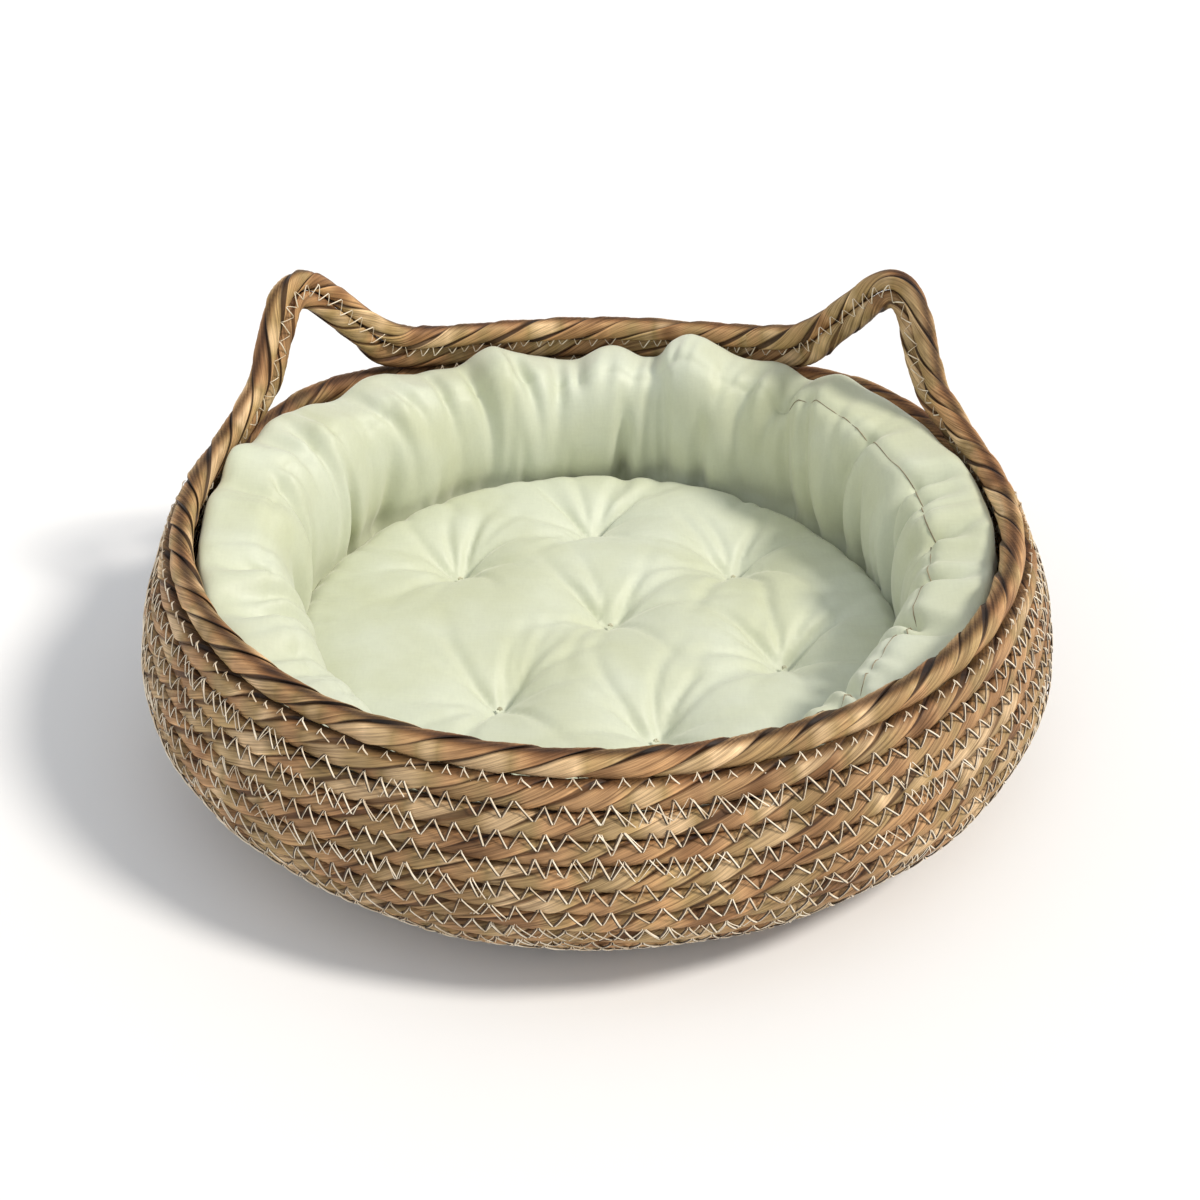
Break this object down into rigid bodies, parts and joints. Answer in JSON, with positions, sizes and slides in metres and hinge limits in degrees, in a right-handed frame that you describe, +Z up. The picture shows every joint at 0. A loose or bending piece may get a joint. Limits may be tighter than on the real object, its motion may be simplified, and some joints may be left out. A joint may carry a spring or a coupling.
{
  "type": "pet bed basket",
  "caption": "Round rope-coil pet bed with two cat ears on its rim and a lift-out tufted cushion with a soft bolster ring.",
  "frame": {"origin": "centre of the flat bottom, on the surface the bed stands on", "axes": "+Z up, -Y towards the low front, +Y towards the back between the ears, +X to the right seen from the front"},
  "size_m": [0.4498, 0.4498, 0.1914],
  "materials": {
    "rope": "matt twisted leaf rope, tan to olive, slightly glossy ribs",
    "cushion_cover": "ivory brushed microfibre with a soft sheen",
    "fill": "loose white fibre",
    "thread": "cream polyester thread"
  },
  "bodies": {
    "basket": {"base_coil": "rope", "wall_course_01": "rope", "wall_course_02": "rope", "wall_course_03": "rope", "wall_course_04": "rope", "wall_course_05": "rope", "wall_course_06": "rope", "wall_course_07": "rope", "wall_course_08": "rope", "wall_course_09": "rope", "wall_course_10": "rope", "wall_course_11": "rope", "wall_course_12": "rope", "wall_course_13": "rope", "rim_rope_front": "rope", "rim_rope_back": "rope", "rim_rope_ear_left": "rope", "rim_rope_ear_right": "rope", "under_rim_rope_front": "rope", "under_rim_rope_back": "rope", "under_rim_rope_ear_left": "rope", "under_rim_rope_ear_right": "rope"},
    "cushion": {"pad_top_cover": "cushion_cover", "pad_bottom_cover": "cushion_cover", "pad_fill": "fill", "bolster_inner_cover": "cushion_cover", "bolster_outer_cover": "cushion_cover", "bolster_fill": "fill", "tuft_tie_1": "thread", "tuft_tie_2": "thread", "tuft_tie_3": "thread", "tuft_tie_4": "thread", "tuft_tie_5": "thread", "tuft_tie_6": "thread", "tuft_tie_7": "thread"}
  },
  "joints": [
    {"name": "cushion_lift", "type": "slide", "parent": "basket", "child": "cushion", "axis": [0, 0, 1], "range_m": [0, 0.25]}
  ]
}
